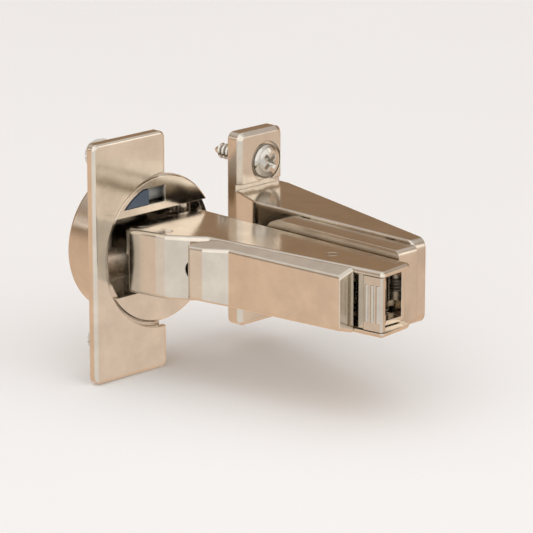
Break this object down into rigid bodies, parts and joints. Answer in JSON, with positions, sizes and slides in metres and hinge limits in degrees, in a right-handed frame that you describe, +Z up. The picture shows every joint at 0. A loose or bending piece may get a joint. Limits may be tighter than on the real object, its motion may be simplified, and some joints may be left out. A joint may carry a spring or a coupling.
{
  "type": "concealed cabinet hinge",
  "caption": "Concealed cup hinge, door closed, on a straight bracket for a blind strip, with capped arm, rail and soft-close switch.",
  "frame": {"origin": "centre of the bracket's back face, halfway between its two screws", "axes": "+X along the strip away from the door, +Y into the wood, +Z up"},
  "size_m": [0.0606, 0.0857, 0.0576],
  "materials": {
    "nickel_steel": "nickel-plated sheet steel",
    "nickel_cast": "nickel-plated zinc casting",
    "satin_cover": "satin nickel cover",
    "pin_steel": "bright steel pin",
    "spring_steel": "oiled spring steel",
    "switch_plastic": "dark blue-grey nylon",
    "pale_plastic": "pale grey nylon"
  },
  "bodies": {
    "bracket": {"mounting_bracket": "nickel_cast", "bracket_screws": "nickel_steel"},
    "rail": {"rail_plate": "nickel_cast", "rail_hook_pin": "pin_steel", "clip_base": "nickel_steel", "lever_pin": "pin_steel"},
    "height_cam_body": {"height_cam": "pin_steel"},
    "lever": {"release_lever": "nickel_cast", "lever_spring": "spring_steel"},
    "slide": {"slide_block": "nickel_cast"},
    "depth_cam_body": {"depth_cam": "pin_steel"},
    "side_screw_body": {"side_screw": "pin_steel"},
    "arm": {"arm_channel": "nickel_steel", "cover_cap": "satin_cover", "tilt_pin": "pin_steel", "outer_arm_pin": "pin_steel", "inner_arm_pin": "pin_steel", "closing_spring": "spring_steel"},
    "outer": {"outer_link": "nickel_steel"},
    "inner": {"inner_link": "nickel_steel", "inner_cup_pin": "pin_steel"},
    "cup": {"hinge_cup": "nickel_cast", "outer_cup_pins": "pin_steel", "upper_cover": "satin_cover", "lower_cover": "satin_cover", "damper_cylinders": "pale_plastic", "damper_rods": "pin_steel", "fixing_dowels": "pale_plastic", "flange_cover_pin": "pin_steel"},
    "flap": {"flange_cover": "satin_cover"},
    "wedges": {"dowel_wedges": "pin_steel"},
    "switch": {"soft_close_switch": "switch_plastic"}
  },
  "joints": [
    {"name": "height_adjust", "type": "slide", "parent": "bracket", "child": "rail", "axis": [0, 0, 1], "range_m": [-0.002, 0.002]},
    {"name": "height_cam_turn", "type": "hinge", "parent": "bracket", "child": "height_cam_body", "pos_m": [0, -0.043, 0], "axis": [1, 0, 0], "range_deg": [-60.5, 60.5]},
    {"name": "lever_press", "type": "hinge", "parent": "rail", "child": "lever", "pos_m": [-0.026, -0.0612, 0], "axis": [0, 0, 1], "range_deg": [0, 12], "stiffness_Nm_per_rad": 0.12, "springref_deg": -8.59, "deforming": ["lever_spring"]},
    {"name": "depth_adjust", "type": "slide", "parent": "rail", "child": "slide", "axis": [0, 1, 0], "range_m": [-0.002, 0.002]},
    {"name": "depth_cam_turn", "type": "hinge", "parent": "rail", "child": "depth_cam_body", "pos_m": [0, -0.045, 0], "axis": [1, 0, 0], "range_deg": [-60.5, 60.5]},
    {"name": "side_adjust", "type": "hinge", "parent": "slide", "child": "arm", "pos_m": [-0.0278, -0.0529, 0], "axis": [0, 0, 1], "range_deg": [-1.5, 2]},
    {"name": "side_screw_turn", "type": "hinge", "parent": "slide", "child": "side_screw_body", "pos_m": [0, -0.0352, 0], "axis": [1, 0, 0], "range_deg": [-110, 146]},
    {"name": "door_swing", "type": "hinge", "parent": "arm", "child": "outer", "pos_m": [-0.04208, -0.00568, 0], "axis": [0, 0, 1], "range_deg": [0, 49.05]},
    {"name": "inner_swing", "type": "hinge", "parent": "arm", "child": "inner", "pos_m": [-0.0405, -0.01223, 0], "axis": [0, 0, 1], "range_deg": [0, 24.25], "deforming": ["closing_spring"]},
    {"name": "cup_swing", "type": "hinge", "parent": "outer", "child": "cup", "pos_m": [-0.02246, 0.00229, 0], "axis": [0, 0, -1], "range_deg": [0, 144.55]},
    {"name": "flange_cover_lift", "type": "hinge", "parent": "cup", "child": "flap", "pos_m": [-0.0536, -0.00085, 0], "axis": [0, 0, -1], "range_deg": [0, 25]},
    {"name": "wedge_travel", "type": "slide", "parent": "cup", "child": "wedges", "axis": [0, -1, 0], "range_m": [0, 0.00125]},
    {"name": "switch_slide", "type": "slide", "parent": "cup", "child": "switch", "axis": [1, 0, 0], "range_m": [0, 0.0035]}
  ],
  "couplings": [
    {"joint": "height_cam_turn", "follows": "height_adjust", "rad_per_m": 523.6},
    {"joint": "depth_cam_turn", "follows": "depth_adjust", "rad_per_m": -523.6},
    {"joint": "side_screw_turn", "follows": "side_adjust", "ratio": 72},
    {"joint": "cup_swing", "follows": "door_swing", "ratio": 2.9369},
    {"joint": "inner_swing", "follows": "door_swing", "ratio": 0.48828},
    {"joint": "wedge_travel", "follows": "flange_cover_lift", "m_per_rad": 0.00275}
  ]
}
